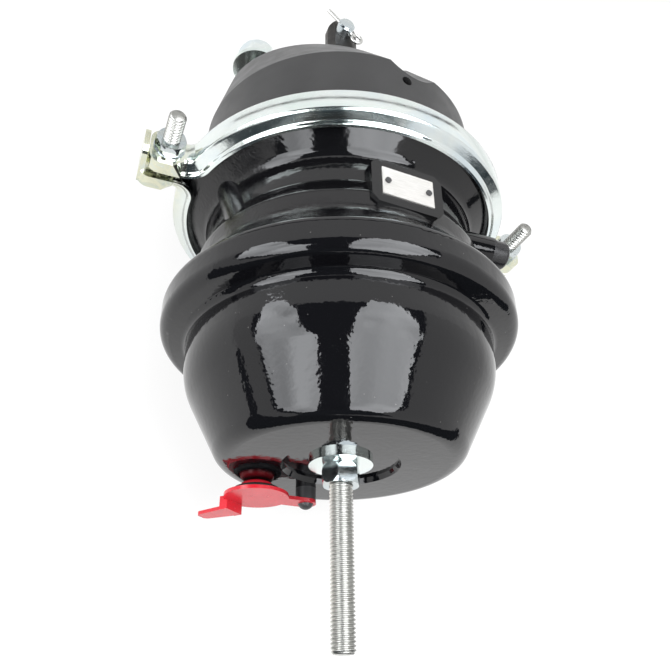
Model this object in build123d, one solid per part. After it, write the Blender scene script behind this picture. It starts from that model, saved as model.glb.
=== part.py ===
from build123d import *
from math import atan2, cos, degrees, radians, sin, sqrt, tan
import os

os.makedirs("parts", exist_ok=True)

# Combination spring brake chamber, caged. Lengths are millimetres.
# Pieces are drawn along +Z: a station is a height above the spring head's outer face.
# placed() then turns them so that the push rod points along +Y from a mounting face at Y = 0.

# Whole chamber
body_length = 263.0
piston_stroke = 64.0
chamber_r = 88.0
gap = 0.3
bolt_chamfer = 1.2
nut_rounding = 1.01
running_fit = 0.05

# Spring head: a drawn bowl whose rim is rolled over the centre housing's flange
head_wall = 3.5
head_face_r = 66.0
head_face_round = 11.0
head_shoulder_station = 43.0
head_shoulder_round = 40.0
dish_r = 33.0
cap_hole_r = 9.5
crimp_bottom = 70.0
crimp_top = 91.5
crimp_outstand = 15.4
crimp_sheet = 3.4
crimp_lip_width = 9.8
crimp_seat = 75.5
crimp_round = 7.0
crimp_inner_round = 3.0
crimp_root_round = 4.0
crimp_root_height = 8.0
dish_slope = 2.0

# Diaphragms
bead_thickness = 4.0
diaphragm_thickness = 3.0
bead_inset = 1.0
diaphragm_overlap = 6.0

# Pressure plate and power spring
plate_r = 60.0
plate_thickness = 4.5
plate_top = 49.5
tube_outer_r = 15.0
tube_inner_r = 11.5
tube_depth = 25.0
tube_floor = 3.5
power_wire_r = 6.0
power_large_r = 56.5
power_small_r = 30.0
power_turns = 3.0

# Centre housing
web_thickness = 5.5
neck_top = 93.0
lower_band_inset = 1.5
lower_band_top = 119.0
lower_band_round = 12.0
casting_round = 5.0
name_boss_slope = 4.0
neck_inset = 2.0
waist_inset = 6.0
waist_bottom = 128.0
waist_top = 148.0
lower_bore_inset = 8.0
upper_bore_inset = 11.5
hub_r = 32.5
hub_height = 18.6
spring_pocket_r = 28.5
spring_pocket_roof = 4.0

# Adapter rod, its bushing and its return spring
rod_r = 12.7
bushing_wall = 3.0
guide_wall = 3.0
adapter_foot_r = 38.0
adapter_foot_thickness = 4.0
adapter_head_r = 22.0
adapter_head_thickness = 4.5
helper_wire_r = 1.5
helper_turns = 4.0

# Clamp ring
clamp_mid = 165.0
flange_width = 10.6
flange_clearance = 2.9
clamp_leg_depth = 8.9
clamp_half_height = 7.0
clamp_leg_rise = 4.7
clamp_sheet = 3.0
clamp_corner = 2.4
clamp_split_left = 16.5
clamp_split_right = 2.5
ear_half_stack = 11.5
ear_half_width = 12.0
ear_shoulder = 6.0
ear_front_bend = 6.0
ear_rear_bend = 3.5
ear_beyond_bolt = 10.5
ear_corner = 7.0
ear_lip_height = 27.0
ear_lip_corner = 5.0
clamp_bolt_r = 4.9
clamp_bolt_length = 49.5
clamp_bolt_head_r = 6.7
clamp_bolt_head_height = 3.6
clamp_nut_across_flats = 15.9
clamp_nut_height = 8.2
clamp_nut_face_r = 9.0
clamp_nut_face_height = 1.2

# Service housing
service_wall = 3.2
crown_height = 41.0
pad_half_length = 77.0
pad_half_width = 58.0
pad_round = 5.0
scoop_azimuth = 80.0
scoop_r = 40.0
scoop_depth = 4.7
drain_azimuth = 84.0
drain_drop = 13.5
rim_height = 4.0
rim_round = 5.0
rim_depth = 8.0
drain_r = 3.2
rod_hole_r = 15.0
stud_r = 7.9375
stud_spacing = 120.65
stud_reach = 38.0
stud_head_r = 10.5
stud_head_thickness = 5.0
stud_neck_r = 8.6
stud_thread_root_r = 6.9
stud_nut_across_flats = 23.8
stud_nut_height = 13.9
stud_washer_r = 16.5
stud_washer_thickness = 3.0

# Push rod end
push_plate_r = 55.0
push_plate_thickness = 4.0
push_rod_r = 7.9375
return_wire_r = 2.4
return_large_r = 44.0
return_small_r = 24.0
return_turns = 5.0
dust_seal_r = 29.0
dust_seal_thickness = 3.0
clevis_pin_y = 70.5
clevis_ear_r = 11.5
clevis_gap = 16.3
clevis_ear_thickness = 8.0
clevis_slot_depth = 20.0
clevis_hub_length = 18.0
clevis_corner = 1.3
clevis_pin_r = 6.35
clevis_pin_head_r = 9.0
clevis_pin_head_thickness = 4.0
clevis_pin_overhang = 8.0
cotter_wire_r = 1.5
cotter_length = 27.0
cotter_stand = 2.0
cotter_eye_r = 3.9
cotter_eye_wire_r = 1.2
cotter_angle = 45.0
jam_nut_height = 8.7
jam_nut_across_flats = 23.8

# Caging bolt
caging_bolt_r = 6.35
caging_bolt_reach = 93.5
caging_tee_half_length = 10.0
caging_tee_width = 9.0
caging_tee_height = 6.0
caging_washer_r = 17.45
caging_washer_hole_r = 7.15
caging_washer_thickness = 2.8
caging_nut_across_flats = 19.05
caging_nut_height = 11.1

# End cap, hung by its strap from a post on the spring head
cap_x = -34.5
cap_z = -41.5
post_x = -4.5
post_z = -43.0
post_r = 5.9
post_height = 7.2
post_pin_r = 2.5
post_head_r = 4.4
post_head_height = 3.0
cap_sheet = 2.0
cap_flange_r = 18.3
cap_plug_r = 10.6
cap_plug_tip_r = 9.0
cap_plug_round = 2.5
cap_seal_r = 1.6
cap_strap_r = 6.0
cap_tab_angle = 229.0
cap_tab_reach = 37.5
cap_tab_drop = 5.5
cap_tab_width = 15.0
cap_tab_tip_width = 9.0
cap_tab_step = 17.0
cap_tab_step_width = 5.0
cap_tab_round = 3.0

# Name plate and air ports
plate_azimuth = 87.0
name_boss_stand = 5.0
name_boss_width = 43.0
name_boss_height = 28.5
name_plate_station = 125.5
name_plate_width = 31.0
name_plate_height = 18.0
name_plate_thickness = 0.8
plate_rivet_spacing = 24.7
plate_rivet_r = 1.7
plate_rivet_height = 1.0
plate_rivet_shank_r = 1.0
port_z = 53.0
port_station = 125.0
port_boss_r = 9.6
port_boss_recess = 8.0
port_thread_r = 7.2
port_depth = 16.0
plug_head_r = 8.6
plug_collar = 2.0
plug_head_height = 10.0
plug_collar_width = 0.9
plug_round = 2.5
plug_depth = 12.0
passage_foot_azimuth = 147.0
passage_head_azimuth = 163.0
passage_r = 10.0
passage_inset = 5.0

# Sizes that follow from the ones above
lower_band_r = chamber_r - lower_band_inset
waist_r = chamber_r - waist_inset
lower_bore_r = chamber_r - lower_bore_inset
upper_bore_r = chamber_r - upper_bore_inset
name_plate_face = waist_r + name_boss_stand
port_boss_end = waist_r - port_boss_recess
plug_head_start = port_boss_end + plug_collar
plug_head_end = plug_head_start + plug_head_height
crimp_r = chamber_r + crimp_outstand
crimp_lip_r = crimp_r - crimp_lip_width
seat_top = crimp_seat + bead_thickness
web_bottom = plate_top + diaphragm_thickness + adapter_foot_thickness + piston_stroke + 3 * gap
hub_top = web_bottom + hub_height
spring_pocket_top = hub_top - spring_pocket_roof
flange_r = chamber_r + flange_width
clamp_r = flange_r + flange_clearance + clamp_sheet
clamp_leg_r = clamp_r - clamp_leg_depth
clamp_leg_slope = clamp_leg_rise / clamp_leg_depth
service_knee = body_length - crown_height
drain_station = service_knee - drain_drop
stud_end = body_length + stud_reach
stud_nut_low = stud_end - stud_nut_height
stud_washer_low = stud_nut_low - stud_washer_thickness


def placed(shape):
    # Station axis to +Y, mounting face to Y = 0.
    return Pos(0, -body_length, 0) * Rot(-90, 0, 0) * shape


def at(x, z, station=0.0):
    # A point given in the finished part's X and Z, as a drawing location.
    return Pos(x, -z, station)


def outline(points):
    # Closed outline in radius and station. A third number rounds that corner.
    sketch = make_face(Polyline(*[(p[0], p[1]) for p in points], close=True))
    for p in points:
        if len(p) == 3:
            corner = sketch.vertices().sort_by_distance((p[0], p[1], 0))[0]
            sketch = fillet(corner, p[2])
    return sketch


def turned(points):
    return revolve(Plane.XZ * outline(points), Axis.Z)


def cylinder(radius, low, high):
    return Pos(0, 0, (low + high) / 2) * Cylinder(radius, high - low)


def tube(outer, inner, low, high):
    return cylinder(outer, low, high) - cylinder(inner, low - 1, high + 1)


def hexagon(across_flats, low, high):
    # A hexagon whose corners a ball rounds off, down to a little above its flats.
    half = (high - low) / 2
    ball_r = nut_rounding * sqrt((across_flats / 2) ** 2 + half**2)
    nut = extrude(RegularPolygon(across_flats / sqrt(3), 6), high - low)
    return Pos(0, 0, low) * (nut & Pos(0, 0, half) * Sphere(ball_r))


def nut_with_bore(across_flats, bore_r, low, high):
    return hexagon(across_flats, low, high) - cylinder(bore_r, low - 1, high + 1)


def coil(wire_r, low_r, high_r, low, high, turns):
    # A spring between two faces, with its wire's centre line on a cone.
    height = high - low - 2 * wire_r
    cone = degrees(atan2(high_r - low_r, height))
    path = Helix(height / turns, height, low_r, cone_angle=cone)
    start = Plane(origin=path @ 0, z_dir=path % 0)
    wire = sweep(start * Circle(wire_r), path=path, is_frenet=True)
    return Pos(0, 0, low + wire_r) * wire


def clamp_flange_back(radius):
    # Half thickness that a clamped flange may have at this radius, inside the V band.
    leg = clamp_sheet * sqrt(1 + clamp_leg_slope**2)
    return clamp_half_height + (clamp_r - radius) * clamp_leg_slope - leg - gap


def spring_head():
    bowl = turned([
        (0, 0),
        (head_face_r, 0, head_face_round),
        (chamber_r, head_shoulder_station, head_shoulder_round),
        (chamber_r, crimp_seat),
        (0, crimp_seat),
    ])
    bowl -= turned([
        (0, -1),
        (dish_r, -1),
        (dish_r - dish_slope, caging_washer_thickness),
        (0, caging_washer_thickness),
    ])
    mouth = bowl.faces().sort_by(Axis.Z)[-1]
    bowl = offset(bowl, amount=-head_wall, openings=mouth)
    rim = turned([
        (chamber_r - head_wall, crimp_bottom - crimp_root_height),
        (chamber_r, crimp_bottom - crimp_root_height),
        (chamber_r, crimp_bottom - crimp_inner_round, crimp_root_round),
        (crimp_r, crimp_bottom, crimp_round),
        (crimp_r, crimp_top, crimp_round),
        (crimp_lip_r, crimp_top, 1),
        (crimp_lip_r, crimp_top - crimp_sheet),
        (crimp_r - crimp_sheet, crimp_top - crimp_sheet, crimp_inner_round),
        (crimp_r - crimp_sheet, crimp_seat),
        (chamber_r - head_wall, crimp_seat),
    ])
    return bowl + rim - cylinder(cap_hole_r, -1, 2 * head_wall)


def diaphragm(seat, centre, outer_r, inner_r, flat_r):
    # A dished rubber disc: bead clamped at the seat, flat centre resting on its plate.
    return turned([
        (0, centre),
        (flat_r, centre, 5),
        (inner_r, seat),
        (outer_r, seat),
        (outer_r, seat + bead_thickness),
        (inner_r - 2, seat + bead_thickness, 3),
        (flat_r - 2, centre + diaphragm_thickness, 4),
        (0, centre + diaphragm_thickness),
    ])


def pressure_plate():
    low = plate_top - plate_thickness
    floor = low - tube_depth
    plate = turned([
        (0, low),
        (plate_r - 3, low),
        (plate_r, low + 2, 1),
        (plate_r, plate_top, 1),
        (0, plate_top),
    ])
    plate += tube(tube_outer_r, tube_inner_r, floor, low)
    plate += tube(tube_outer_r, caging_bolt_r + gap, floor, floor + tube_floor)
    # The T of the bolt enters by this slot and is then turned a quarter.
    slot_length = 2 * (caging_tee_half_length + gap)
    slot = Box(caging_tee_width + 2 * gap, slot_length, 2 * tube_floor + 2)
    return plate - Pos(0, 0, floor) * slot


def power_spring():
    low = head_wall + gap
    high = plate_top - plate_thickness - gap
    return coil(power_wire_r, power_large_r, power_small_r, low, high, power_turns)


def housing_outside():
    # The casting's turned outside, from its crimped flange up to its clamped flange.
    back = clamp_mid - clamp_flange_back(flange_r)
    neck_back = clamp_mid - clamp_flange_back(clamp_leg_r - neck_inset)
    crimped_r = crimp_r - crimp_sheet - gap
    crimped_top = crimp_top - crimp_sheet - gap
    return turned([
        (0, seat_top),
        (crimped_r, seat_top),
        (crimped_r, crimped_top, 3.5),
        (crimp_lip_r - gap, crimped_top),
        (crimp_lip_r - gap, neck_top, 1.5),
        (lower_band_r, lower_band_top - lower_band_round, lower_band_round),
        (lower_band_r, lower_band_top, casting_round),
        (waist_r, waist_bottom, casting_round),
        (waist_r, waist_top, casting_round + neck_inset),
        (clamp_leg_r - neck_inset, neck_back, 0.8),
        (flange_r, back),
        (flange_r, clamp_mid - bead_thickness / 2),
        (0, clamp_mid - bead_thickness / 2),
    ])


def housing_inside():
    # The two bores either side of the web, and the pocket that takes the helper spring.
    guide_r = rod_r + bushing_wall
    web_top = web_bottom + web_thickness
    lower = turned([
        (0, seat_top - 1),
        (lower_bore_r, seat_top - 1),
        (lower_bore_r, web_bottom, 6),
        (spring_pocket_r, web_bottom, 1.5),
        (spring_pocket_r, spring_pocket_top),
        (guide_r + guide_wall, spring_pocket_top),
        (guide_r + guide_wall, web_bottom),
        (0, web_bottom),
    ])
    upper = turned([
        (0, hub_top),
        (hub_r, hub_top, 2),
        (hub_r, web_top, 3),
        (upper_bore_r, web_top, 6),
        (upper_bore_r, clamp_mid),
        (0, clamp_mid),
    ])
    return lower + upper + cylinder(guide_r, web_bottom - 1, hub_top + 1)


def passage_point(azimuth, station):
    angle = radians(azimuth)
    reach = waist_r - passage_inset
    return Vector(reach * cos(angle), -reach * sin(angle), station)


def center_housing():
    boss = Box(name_boss_width, name_plate_face, name_boss_height)
    boss = chamfer(boss.edges().filter_by(Axis.Y), name_boss_slope)
    boss = Pos(0, -name_plate_face / 2, name_plate_station) * boss
    body = housing_outside() + Rot(0, 0, 90 - plate_azimuth) * boss
    # Cast air passage rib, leaning across the side of the waist
    foot = passage_point(passage_foot_azimuth, neck_top)
    head = passage_point(passage_head_azimuth, waist_top)
    rib = Plane(origin=foot, z_dir=head - foot) * cylinder(passage_r, 0, (head - foot).length)
    body += rib + Pos(head.X, head.Y, head.Z) * Sphere(passage_r)
    for side in (1, -1):
        port = at(0, side * port_z, port_station) * Rot(0, 90, 0)
        body += port * cylinder(port_boss_r, waist_r / 2, port_boss_end)
        body -= port * cylinder(port_thread_r, port_boss_end - port_depth, port_boss_end + 1)
    return body - housing_inside()


def rod_bushing():
    return tube(rod_r + bushing_wall - running_fit, rod_r + running_fit, web_bottom, hub_top)


def adapter_rod():
    foot = plate_top + diaphragm_thickness + 2 * gap
    head = hub_top + gap
    rod = cylinder(adapter_foot_r, foot, foot + adapter_foot_thickness)
    rod += cylinder(rod_r, foot, head + adapter_head_thickness)
    return rod + cylinder(adapter_head_r, head, head + adapter_head_thickness)


def adapter_return_spring():
    low = plate_top + diaphragm_thickness + 3 * gap + adapter_foot_thickness
    radius = (spring_pocket_r + rod_r + bushing_wall + guide_wall) / 2
    return coil(helper_wire_r, radius, radius, low, spring_pocket_top - gap, helper_turns)


def service_form(inset):
    # The housing's solid form, drawn in by the inset on every side: a round wall that
    # tapers from its knee to the long flat pad that carries the two studs.
    slope = atan2(chamber_r - pad_half_width, body_length - service_knee)
    knee = service_knee - inset * tan(slope / 2)
    top = body_length - inset
    waist = Plane.XY.offset(knee) * Circle(chamber_r - inset)
    crown = Plane.XY.offset(top) * Ellipse(pad_half_length - inset, pad_half_width - inset)
    form = cylinder(chamber_r - inset, clamp_mid, knee) + loft([waist, crown])
    form = fillet(form.edges().group_by(Axis.Z)[-1], pad_round - inset)
    # Shallow scoop down the cone, beside the drain hole
    reach = scoop_r - scoop_depth
    mid_r = (chamber_r + pad_half_width) / 2 + reach * cos(slope)
    mid_station = (service_knee + body_length) / 2 + reach * sin(slope)
    scoop = Cylinder(scoop_r + inset, body_length)
    scoop = Pos(mid_r, 0, mid_station) * Rot(0, -degrees(slope), 0) * scoop
    return form - Rot(0, 0, -scoop_azimuth) * scoop


def service_housing():
    back = clamp_mid + clamp_flange_back(flange_r)
    neck_back = clamp_mid + clamp_flange_back(clamp_leg_r - neck_inset)
    seat = clamp_mid + bead_thickness / 2 + gap
    shell = service_form(0) + turned([
        (chamber_r - rim_depth, seat),
        (flange_r, seat),
        (flange_r, back),
        (clamp_leg_r - neck_inset, neck_back, 1),
        (chamber_r, neck_back + rim_height, rim_round),
        (chamber_r - 1, neck_back + rim_height + rim_round),
        (chamber_r - rim_depth, neck_back + rim_height + rim_round),
    ])
    shell -= service_form(service_wall)
    shell -= cylinder(flange_r + 5, 0, seat)
    shell -= cylinder(rod_hole_r, service_knee, body_length + 1)
    stud_hole = cylinder(stud_neck_r + running_fit, service_knee, body_length + 1)
    for side in (1, -1):
        shell -= at(side * stud_spacing / 2, 0) * stud_hole
    drain = Pos(0, 0, drain_station) * Rot(90, 0, 0) * cylinder(drain_r, chamber_r / 2, 2 * chamber_r)
    return shell - Rot(0, 0, 90 - drain_azimuth) * drain


def pair_along_x(shape, spacing):
    return Compound([at(side * spacing / 2, 0) * shape for side in (1, -1)])


def mounting_stud():
    # Head inside, a pressed neck in the wall, then the thread. Under its nut the thread is
    # drawn at its root, where the nut's bore meets it.
    inside = body_length - service_wall
    stud = cylinder(stud_thread_root_r, inside, stud_end)
    stud = chamfer(stud.edges().sort_by(Axis.Z)[-1], bolt_chamfer)
    stud += cylinder(stud_head_r, inside - stud_head_thickness, inside)
    stud += cylinder(stud_neck_r, inside, body_length)
    return stud + cylinder(stud_r, body_length, stud_washer_low)


def push_plate_low():
    return hub_top + gap + adapter_head_thickness + gap + diaphragm_thickness + gap


def push_plate():
    low = push_plate_low()
    return turned([
        (push_rod_r - running_fit, low),
        (push_plate_r, low, 1),
        (push_plate_r, low + push_plate_thickness, 2),
        (push_rod_r - running_fit, low + push_plate_thickness),
    ])


def push_rod():
    low = push_plate_low()
    end = body_length + clevis_pin_y - clevis_slot_depth
    rod = cylinder(push_rod_r - running_fit, low, end)
    return chamfer(rod.edges().sort_by(Axis.Z)[-1], bolt_chamfer)


def service_return_spring():
    low = push_plate_low() + push_plate_thickness + gap
    high = body_length - service_wall - dust_seal_thickness - 2 * gap
    return coil(return_wire_r, return_large_r, return_small_r, low, high, return_turns)


def dust_seal():
    top = body_length - service_wall - gap
    return tube(dust_seal_r, push_rod_r + gap, top - dust_seal_thickness, top)


def clevis_hub_low():
    return body_length + clevis_pin_y - clevis_slot_depth - clevis_hub_length


def clevis():
    pin = body_length + clevis_pin_y
    half = clevis_gap / 2 + clevis_ear_thickness
    low = clevis_hub_low()
    # Ears face +Z and -Z of the finished part, which is Y here.
    across = Pos(0, 0, pin) * Rot(90, 0, 0)
    ears = Pos(0, 0, (low + pin) / 2) * Box(2 * clevis_ear_r, 2 * half, pin - low)
    ears += across * Cylinder(clevis_ear_r, 2 * half)
    ears &= cylinder(half + clevis_corner, low, pin + clevis_ear_r + 1)
    slot = Box(4 * clevis_ear_r, clevis_gap, 4 * clevis_slot_depth)
    ears -= Pos(0, 0, pin + clevis_slot_depth) * slot
    ears -= across * Cylinder(clevis_pin_r + running_fit, 4 * half)
    return ears - cylinder(push_rod_r, low - 1, pin)


def jam_nut():
    high = clevis_hub_low()
    return nut_with_bore(jam_nut_across_flats, push_rod_r, high - jam_nut_height, high)


def clevis_pin():
    # Head below, cotter end above, along +Z of the finished part.
    half = clevis_gap / 2 + clevis_ear_thickness
    pin = cylinder(clevis_pin_r, -half - gap, half + clevis_pin_overhang)
    pin = chamfer(pin.edges().sort_by(Axis.Z)[-1], bolt_chamfer)
    pin += cylinder(clevis_pin_head_r, -half - gap - clevis_pin_head_thickness, -half - gap)
    hole = Rot(0, 90, 0) * Cylinder(cotter_wire_r + gap, 4 * clevis_pin_r)
    hole = Pos(0, 0, half + clevis_pin_overhang / 2) * hole
    pin -= Rot(0, 0, -cotter_angle) * hole
    return Pos(0, 0, body_length + clevis_pin_y) * Rot(90, 0, 0) * pin


def cotter_pin():
    half = clevis_gap / 2 + clevis_ear_thickness
    start = clevis_pin_r + cotter_stand
    legs = Pos(start - cotter_length / 2, 0, 0) * Rot(0, 90, 0) * Cylinder(cotter_wire_r, cotter_length)
    eye = Pos(start + cotter_eye_r, 0, 0) * Torus(cotter_eye_r, cotter_eye_wire_r)
    cotter = Pos(0, 0, half + clevis_pin_overhang / 2) * Rot(0, 0, -cotter_angle) * (legs + eye)
    return Pos(0, 0, body_length + clevis_pin_y) * Rot(90, 0, 0) * cotter


def clamp_section(start, step):
    # The V band's sheet in section. Depth below its outer face runs from start, along step.
    edge = clamp_sheet * sqrt(1 + clamp_leg_slope**2)
    tip = clamp_half_height + clamp_leg_rise
    back = clamp_half_height + clamp_sheet * clamp_leg_slope - edge
    leg = start + step * clamp_leg_depth
    web = start + step * clamp_sheet
    return outline([
        (leg, -tip),
        (start, -clamp_half_height, clamp_corner),
        (start, clamp_half_height, clamp_corner),
        (leg, tip),
        (leg, tip - edge),
        (web, back),
        (web, -back),
        (leg, edge - tip),
    ])


def ear_flat_start(face, bend):
    # Where the flat of an ear begins, when its face lies this far out from the clamp's centre.
    return sqrt((clamp_r + bend) ** 2 - (face + bend) ** 2)


def ear_bolt_x(split):
    # The bolt stands where its nut's face just clears the front ear's bend.
    return ear_flat_start(split + ear_half_stack, ear_front_bend) + clamp_nut_face_r + gap


def ear_end(split):
    return ear_bolt_x(split) + ear_beyond_bolt


def band_end(face, bend):
    # Angle at which the round of the band turns into the ear's bend.
    return degrees(atan2(face + bend, ear_flat_start(face, bend)))


def clamp_tongue(length):
    # The flat of an ear along +X, face at Y = 0. Near the bend its sides draw in to the V band.
    full = 2 * ear_half_width
    tongue = Box(length, clamp_leg_depth, full, align=(Align.MIN, Align.MAX, Align.CENTER))
    plan = Rectangle(length, full, align=(Align.MIN, Align.CENTER))
    plan = fillet(plan.vertices().group_by(Axis.X)[-1], ear_corner)
    tongue &= Rot(90, 0, 0) * extrude(plan, clamp_leg_depth)
    for side in (1, -1):
        near = Vector(0, 0, side * clamp_half_height)
        far = Vector(ear_shoulder, 0, side * ear_half_width)
        tip = Vector(0, -clamp_leg_depth, side * (clamp_half_height + clamp_leg_rise))
        outward = (tip - near).cross(far - near) * side
        waste = Box(length * 2, length * 2, full, align=(Align.CENTER, Align.CENTER, Align.MIN))
        tongue -= Plane(origin=near, z_dir=outward) * waste
    wall = clamp_sheet / 2
    hollow = Box(length, clamp_leg_depth, full - 2 * clamp_sheet, align=(Align.MIN, Align.MAX, Align.CENTER))
    return tongue - Pos(wall, -clamp_sheet, 0) * hollow


def clamp_ear(face, bend, end):
    # One ear on the +X side, from the end of the band's round to the ear's own end.
    flat = ear_flat_start(face, bend)
    tangent = band_end(face, bend)
    curve = revolve(Plane.XZ * clamp_section(bend, 1), Axis.Z, revolution_arc=90 - tangent)
    curve = Pos(flat, face + bend) * Rot(0, 0, 180 + tangent) * curve
    return curve + Pos(flat, face) * clamp_tongue(end - flat)


def clamp_half(side, bend, left_beyond):
    # One half of the clamp, drawn with its middle toward +Y and its left ear toward +X.
    # side is 1 for the front half and -1 for the rear one.
    left_face = ear_half_stack + side * clamp_split_left
    right_face = ear_half_stack + side * clamp_split_right
    start = band_end(left_face, bend)
    sweep_angle = 180 - start - band_end(right_face, bend)
    band = revolve(Plane.XZ * clamp_section(clamp_r, -1), Axis.Z, revolution_arc=sweep_angle)
    half = Rot(0, 0, start) * band
    half += clamp_ear(left_face, bend, ear_end(clamp_split_left) + left_beyond)
    half += mirror(clamp_ear(right_face, bend, ear_end(clamp_split_right)), Plane.YZ)
    for x in (ear_bolt_x(clamp_split_left), -ear_bolt_x(clamp_split_right)):
        half -= Pos(x, 0) * Rot(90, 0, 0) * Cylinder(clamp_bolt_r + gap, 2 * clamp_r)
    return half


def clamp_half_front():
    return Pos(0, 0, clamp_mid) * Rot(0, 0, 180) * clamp_half(1, ear_front_bend, 0)


def clamp_half_rear():
    # Its left ear ends in a lip that stands up past the front ear's end.
    beyond = 2 * gap + clamp_sheet
    half = mirror(clamp_half(-1, ear_rear_bend, beyond), Plane.YZ)
    width = 2 * (ear_half_width - clamp_sheet)
    lip = Box(clamp_sheet, ear_lip_height, width, align=(Align.MIN, Align.MAX, Align.CENTER))
    lip = fillet(lip.edges().filter_by(Axis.X).group_by(Axis.Y)[0], ear_lip_corner)
    half += Pos(-ear_end(clamp_split_left) - beyond, ear_half_stack - clamp_split_left) * lip
    return Pos(0, 0, clamp_mid) * half


def clamp_bolt():
    # Round headed bolt, drawn along +Z from the rear ear's outer face.
    bolt = cylinder(clamp_bolt_r, 0, clamp_bolt_length)
    bolt = chamfer(bolt.edges().sort_by(Axis.Z)[-1], bolt_chamfer)
    cap_radius = (clamp_bolt_head_r**2 + clamp_bolt_head_height**2) / (2 * clamp_bolt_head_height)
    dome = Pos(0, 0, cap_radius - clamp_bolt_head_height) * Sphere(cap_radius)
    return bolt + (dome & cylinder(clamp_bolt_head_r, -clamp_bolt_head_height, 0))


def clamp_nut():
    low = 2 * ear_half_stack
    face = low + clamp_nut_face_height
    nut = nut_with_bore(clamp_nut_across_flats, clamp_bolt_r, face, low + clamp_nut_height)
    return nut + tube(clamp_nut_face_r, clamp_bolt_r, low, face)


def on_clamp_bolts(shape):
    # The bolts stand across the two splits, toward +Z of the finished part.
    left = Pos(-ear_bolt_x(clamp_split_left), ear_half_stack - clamp_split_left, clamp_mid)
    right = Pos(ear_bolt_x(clamp_split_right), ear_half_stack - clamp_split_right, clamp_mid)
    upright = Rot(90, 0, 0)
    return Compound([left * upright * shape, right * upright * shape])


def caging_bolt():
    floor = plate_top - plate_thickness - tube_depth + tube_floor
    bolt = cylinder(caging_bolt_r, -caging_bolt_reach, floor + gap + caging_tee_height)
    bolt = chamfer(bolt.edges().sort_by(Axis.Z)[0], bolt_chamfer)
    tee = Box(2 * caging_tee_half_length, caging_tee_width, caging_tee_height)
    return bolt + Pos(0, 0, floor + gap + caging_tee_height / 2) * tee


def caging_washer():
    return tube(caging_washer_r, caging_washer_hole_r, 0, caging_washer_thickness)


def end_cap():
    top = -post_height
    low = top - cap_sheet
    cap = cylinder(cap_flange_r, low, top)
    cap += turned([(0, top), (cap_plug_r, top), (cap_plug_tip_r, -2 * gap, cap_plug_round), (0, -2 * gap)])
    away_x = post_x - cap_x
    away_z = post_z - cap_z
    reach = sqrt(away_x**2 + away_z**2)
    strap = Pos(reach / 2, 0) * Rectangle(reach, 2 * cap_strap_r) + Pos(reach, 0) * Circle(cap_strap_r)
    strap -= Pos(reach, 0) * Circle(post_pin_r + running_fit)
    strap = Pos(0, 0, low) * extrude(strap, cap_sheet)
    cap += Rot(0, 0, -degrees(atan2(away_z, away_x))) * strap
    # A cranked finger tab, stepped away from the head
    step_height = cap_tab_drop + cap_sheet
    step = Pos(0, 0, -step_height / 2) * Box(cap_tab_step_width, cap_tab_width, step_height)
    run = Polyline(
        (cap_tab_step - cap_sheet, -cap_tab_width / 2),
        (cap_tab_reach, -cap_tab_tip_width / 2),
        (cap_tab_reach, cap_tab_tip_width / 2),
        (cap_tab_step - cap_sheet, cap_tab_width / 2),
        close=True,
    )
    run = fillet(make_face(run).vertices().group_by(Axis.X)[-1], cap_tab_round)
    tab = Pos(cap_tab_step, 0, top) * step + Pos(0, 0, low - cap_tab_drop) * extrude(run, cap_sheet)
    cap += Rot(0, 0, -cap_tab_angle) * tab
    return at(cap_x, cap_z) * cap


def cap_seal_ring():
    return at(cap_x, cap_z, -post_height + cap_seal_r + 0.02) * Torus(cap_plug_r + cap_seal_r, cap_seal_r)


def tether_post():
    low = -post_height - cap_sheet
    post = cylinder(post_r, -post_height + 0.1, 0)
    post += cylinder(post_pin_r, low - 1, 0)
    head_radius = (post_head_r**2 + post_head_height**2) / (2 * post_head_height)
    dome = Pos(0, 0, low - 0.1 - post_head_height + head_radius) * Sphere(head_radius)
    post += dome & cylinder(post_head_r, low - 0.1 - post_head_height, low - 0.1)
    return at(post_x, post_z) * post


def name_plate():
    plate = Box(name_plate_width, name_plate_thickness, name_plate_height)
    plate = Pos(0, -name_plate_face - name_plate_thickness / 2, name_plate_station) * plate
    for side in (1, -1):
        hole = Rot(90, 0, 0) * Cylinder(plate_rivet_shank_r, 4 * name_plate_thickness)
        plate -= Pos(side * plate_rivet_spacing / 2, -name_plate_face, name_plate_station) * hole
    return Rot(0, 0, 90 - plate_azimuth) * plate


def plate_rivets():
    face = name_plate_face + name_plate_thickness
    rivet = cylinder(plate_rivet_shank_r, face - name_plate_thickness, face)
    rivet += cylinder(plate_rivet_r, face, face + plate_rivet_height)
    rivet = Rot(90, 0, 0) * rivet
    pair = [Pos(side * plate_rivet_spacing / 2, 0, name_plate_station) * rivet for side in (1, -1)]
    return Rot(0, 0, 90 - plate_azimuth) * Compound(pair)


def port_plugs():
    plug = cylinder(port_thread_r - running_fit, port_boss_end - plug_depth, plug_head_start)
    plug += cylinder(plug_head_r + plug_collar_width, port_boss_end, plug_head_start)
    head = cylinder(plug_head_r, plug_head_start, plug_head_end)
    plug += fillet(head.edges().sort_by(Axis.Z)[-1], plug_round)
    plug = Rot(0, 90, 0) * plug
    return Compound([at(0, side * port_z, port_station) * plug for side in (1, -1)])


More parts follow.
